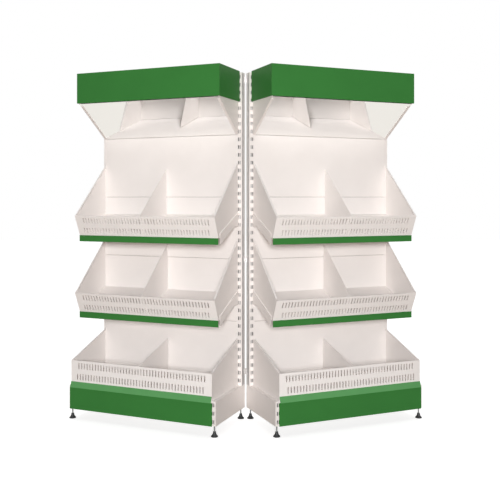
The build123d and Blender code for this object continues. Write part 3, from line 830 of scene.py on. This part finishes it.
def bracket_edges(bay):
    """Four angle strips, one on each bracket of a bay, as points and faces in its place."""
    leaning = Matrix.Rotation(shelf_tilt, 4, "X")
    bracket_low, bracket_high = box_in(f"{bay}_shelf_brackets", bays[bay])
    points, faces = [], []
    for shelf in ("lower", "upper"):
        tray_high = box_in(f"{bay}_{shelf}_tray", bays[bay] @ leaning)[1]
        seat = tray_high.z + bracket_rise
        near, far, top = tray_high.x + edge_gap, bracket_high.x, seat + edge_sheet
        profile = [(near, seat), (far, seat), (far, seat - edge_drop)]
        profile += [(far + edge_sheet, seat - edge_drop), (far + edge_sheet, top), (near, top)]
        fall = seat * math.sin(shelf_tilt)
        ends = [(y + fall) / math.cos(shelf_tilt) for y in (bracket_low.y, -edge_end_gap)]
        for end in (1, -1):
            start, count = len(points), len(profile)
            points += [leaning @ Vector((end * x, y, z)) for y in ends for x, z in profile]
            strip = [(k, (k + 1) % count, count + (k + 1) % count, count + k) for k in range(count)]
            strip += [(5, 4, 1, 0), (4, 3, 2, 1), (6, 7, 10, 11), (7, 8, 9, 10)]
            faces += [tuple(start + k for k in (face if end < 0 else face[::-1])) for face in strip]
    return points, faces


for bay, place in bays.items():
    points, faces = bracket_edges(bay)
    edges = add_piece(f"{bay}_bracket_edges", points, faces, white_paint, place)
    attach(edges, "rack")
    print(edges.name, len(faces), "faces")

# %% [markdown]
# ## Levelling feet
# Each foot is a zinc-plated stud that screws up into the leg, on a black moulded pad. The thread is a
# helix, so it could be a twisted curve with a profile. A bent grid is simpler: its rows run round the
# stud, and each point moves out or in by a zigzag that climbs one pitch in a turn. The pad is a turned
# shape: one side line, spun round the axis.

# %% The tree of a threaded stud
stud_tree, stud_in, stud_out = new_tree(
    "threaded_stud",
    {
        "Length": "Float",
        "Radius": "Float",
        "Thread depth": "Float",
        "Thread pitch": "Float",
        "Points round": "Int",
        "Points along": "Int",
        "Material": "Material",
    },
)
inputs = {"Size X": 1.0, "Size Y": 1.0}
inputs.update({"Vertices X": stud_in["Points round"], "Vertices Y": stud_in["Points along"]})
grid = add_node(stud_tree, "GeometryNodeMeshGrid", inputs).outputs["Mesh"]
spot = split(stud_tree, add_node(stud_tree, "GeometryNodeInputPosition").outputs[0])
turn_share = calculate(stud_tree, "ADD", spot["X"], 0.5)
length_share = calculate(stud_tree, "ADD", spot["Y"], 0.5)
climb = calculate(stud_tree, "MULTIPLY", length_share, stud_in["Length"])
turns = calculate(stud_tree, "DIVIDE", climb, stud_in["Thread pitch"])
zigzag = calculate(stud_tree, "PINGPONG", calculate(stud_tree, "SUBTRACT", turns, turn_share), 0.5)
cut_share = calculate(stud_tree, "MULTIPLY", zigzag, 2.0)
cut = calculate(stud_tree, "MULTIPLY", cut_share, stud_in["Thread depth"])
rim = calculate(stud_tree, "SUBTRACT", stud_in["Radius"], cut)
angle = calculate(stud_tree, "MULTIPLY", turn_share, -2 * math.pi)
across = calculate(stud_tree, "MULTIPLY", rim, calculate(stud_tree, "COSINE", angle))
inward = calculate(stud_tree, "MULTIPLY", rim, calculate(stud_tree, "SINE", angle))
inputs = {"Geometry": grid, "Position": vector(stud_tree, across, inward, climb)}
thread = add_node(stud_tree, "GeometryNodeSetPosition", inputs).outputs[0]
finish_tree(stud_tree, thread, stud_in["Material"], stud_out[0])
print("tree:", stud_tree.name, "with", len(stud_tree.nodes), "nodes")

# %% Studs and pads
foot_nodes = [name for name in frame["nodes"] if name.endswith("_foot")]
stud_radius = 0.0049
stud_foot = 0.032
stud_length = 0.07
thread_pitch = 0.0015
thread_depth = 0.0009
points_round = 21
points_a_pitch = 4
pad_line = [
    (0.0, 0.0), (0.0195, 0.0), (0.0214, 0.0008), (0.0219, 0.002), (0.0219, 0.004), (0.0212, 0.0052),
    (0.019, 0.0072), (0.0162, 0.0102), (0.0136, 0.0136), (0.0117, 0.0172), (0.0104, 0.021),
    (0.0095, 0.0248), (0.0089, 0.0285), (0.0085, 0.0312), (0.0078, 0.0319), (0.0, 0.0319),
]
pad_sides = 40


def turned(line, steps):
    """Points and faces of a closed shape: a side line (radius, height), turned round an upright axis."""
    rings = line[1:-1]
    angles = [2 * math.pi * step / steps for step in range(steps)]
    points = [(0, 0, line[0][1])]
    for radius, height in rings:
        points += [(radius * math.cos(a), radius * math.sin(a), height) for a in angles]
    points.append((0, 0, line[-1][1]))
    last = len(points) - 1
    top = 1 + (len(rings) - 1) * steps
    faces = []
    for step in range(steps):
        after = (step + 1) % steps
        faces.append((0, 1 + after, 1 + step))
        for ring in range(len(rings) - 1):
            low, high = 1 + ring * steps, 1 + (ring + 1) * steps
            faces.append((low + step, low + after, high + after, high + step))
        faces.append((top + step, top + after, last))
    return points, faces


def closed_ends(piece):
    """Fills the open rims of a tube."""
    tube = bmesh.new()
    tube.from_mesh(piece.data)
    bmesh.ops.holes_fill(tube, edges=[edge for edge in tube.edges if edge.is_boundary])
    bmesh.ops.recalc_face_normals(tube, faces=tube.faces)
    tube.to_mesh(piece.data)
    tube.free()


for node in foot_nodes:
    low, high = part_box(node)
    stand = Matrix.Translation(((low.x + high.x) / 2, (low.y + high.y) / 2, low.z))
    stud = grow(
        f"{node}_stud",
        stud_tree,
        {
            "Length": stud_length,
            "Radius": stud_radius,
            "Thread depth": thread_depth,
            "Thread pitch": thread_pitch,
            "Points round": points_round,
            "Points along": round(stud_length / thread_pitch * points_a_pitch) + 1,
            "Material": zinc_steel,
        },
    )
    closed_ends(stud)
    stud.data.transform(stand @ Matrix.Translation((0, 0, stud_foot)))
    pad = add_piece(f"{node}_pad", *turned(pad_line, pad_sides), foot_black, stand)
    pad.data.shade_smooth()
    for piece, slot in ((stud, "zinc_steel"), (pad, "foot_black")):
        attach(piece, node)
        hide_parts(node)
stud_faces, pad_faces = len(stud.data.polygons), len(pad.data.polygons)
print("feet:", len(foot_nodes), "studs of", stud_faces, "faces and pads of", pad_faces)

# %% [markdown]
# ## Bolts at the back
# Two bolts hold each middle leg to its upright, and four hold each corner tie. The legs have low round
# heads and the ties hexagon heads, all on washers. One tree makes both kinds: it sets a head on every
# point that it is given, and the number of sides says whether the head is round or a hexagon.

# %% The tree of a set of bolts
round_sides = 24

bolt_tree, bolt_in, bolt_out = new_tree(
    "bolt_heads",
    {
        "Spots": "Geometry",
        "Head sides": "Int",
        "Head radius": "Float",
        "Head height": "Float",
        "Washer radius": "Float",
        "Washer height": "Float",
        "Material": "Material",
    },
)


def standing(tree, sides, radius, height, base):
    """A prism or disc that stands on z = base."""
    inputs = {"Vertices": sides, "Radius": radius, "Depth": height}
    disc = add_node(tree, "GeometryNodeMeshCylinder", inputs).outputs[0]
    return moved(tree, disc, vector(tree, z=calculate(tree, "MULTIPLY_ADD", height, 0.5, base)))


under, over = bolt_in["Washer height"], bolt_in["Head height"]
washer = standing(bolt_tree, round_sides, bolt_in["Washer radius"], under, 0.0)
head = standing(bolt_tree, bolt_in["Head sides"], bolt_in["Head radius"], over, under)
inputs = {"Name": "facing"}
named = add_node(bolt_tree, "GeometryNodeInputNamedAttribute", inputs, data_type="FLOAT_VECTOR")
inputs = {"Vector": named.outputs[0]}
turn = add_node(bolt_tree, "FunctionNodeAlignRotationToVector", inputs, axis="Z").outputs[0]
bolt = joined(bolt_tree, washer, head)
inputs = {"Points": bolt_in["Spots"], "Instance": bolt, "Rotation": turn}
placed = add_node(bolt_tree, "GeometryNodeInstanceOnPoints", inputs).outputs[0]
finish_tree(bolt_tree, placed, bolt_in["Material"], bolt_out[0])
print("tree:", bolt_tree.name)

# %% Bolts of the legs and ties
leg_bolt_heights = (0.105, 0.18)
tie_thickness = 0.004
tie_bolt_inset = 0.015
tie_bolt_spread = 0.011
round_bolt = {
    "Head sides": round_sides,
    "Head radius": 0.0075,
    "Head height": 0.0035,
    "Washer radius": 0.0095,
    "Washer height": 0.0012,
}
hexagon_bolt = {
    "Head sides": 6,
    "Head radius": 0.0075,
    "Head height": 0.0055,
    "Washer radius": 0.0085,
    "Washer height": 0.0012,
}


def bolt_set(name, spots, sizes):
    """Bolts on the spots [(point, facing)]."""
    mesh = bpy.data.meshes.new(name)
    mesh.from_pydata([point for point, facing in spots], [], [])
    directions = mesh.attributes.new("facing", "FLOAT_VECTOR", "POINT")
    for item, (point, facing) in zip(directions.data, spots):
        item.vector = facing
    piece = grow(name, bolt_tree, {**sizes, "Material": zinc_steel}, mesh)
    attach(piece, "rack")
    print(name, len(spots), "bolts,", len(piece.data.polygons), "faces")


leg_spots, tie_spots = [], []
tie_points = frame["nodes"]["corner_ties"].data.vertices
tie_edges = sorted({round(vertex.co.z, 4) for vertex in tie_points})
for bay, outward in sides.items():
    place = bays[bay]
    back = place.to_3x3() @ Vector((0, 1, 0))
    low, high = box_in(f"{bay}_inner_upright", place)
    for height in leg_bolt_heights:
        leg_spots.append((place @ Vector(((low.x + high.x) / 2, high.y, height)), back))
    across = low.x + tie_bolt_inset if outward > 0 else high.x - tie_bolt_inset
    for bottom, top in zip(tie_edges[::2], tie_edges[1::2]):
        for shift in (-tie_bolt_spread, tie_bolt_spread):
            spot = (across, high.y + tie_thickness, (bottom + top) / 2 + shift)
            tie_spots.append((place @ Vector(spot), back))
bolt_set("leg_bolts", leg_spots, round_bolt)
bolt_set("tie_bolts", tie_spots, hexagon_bolt)
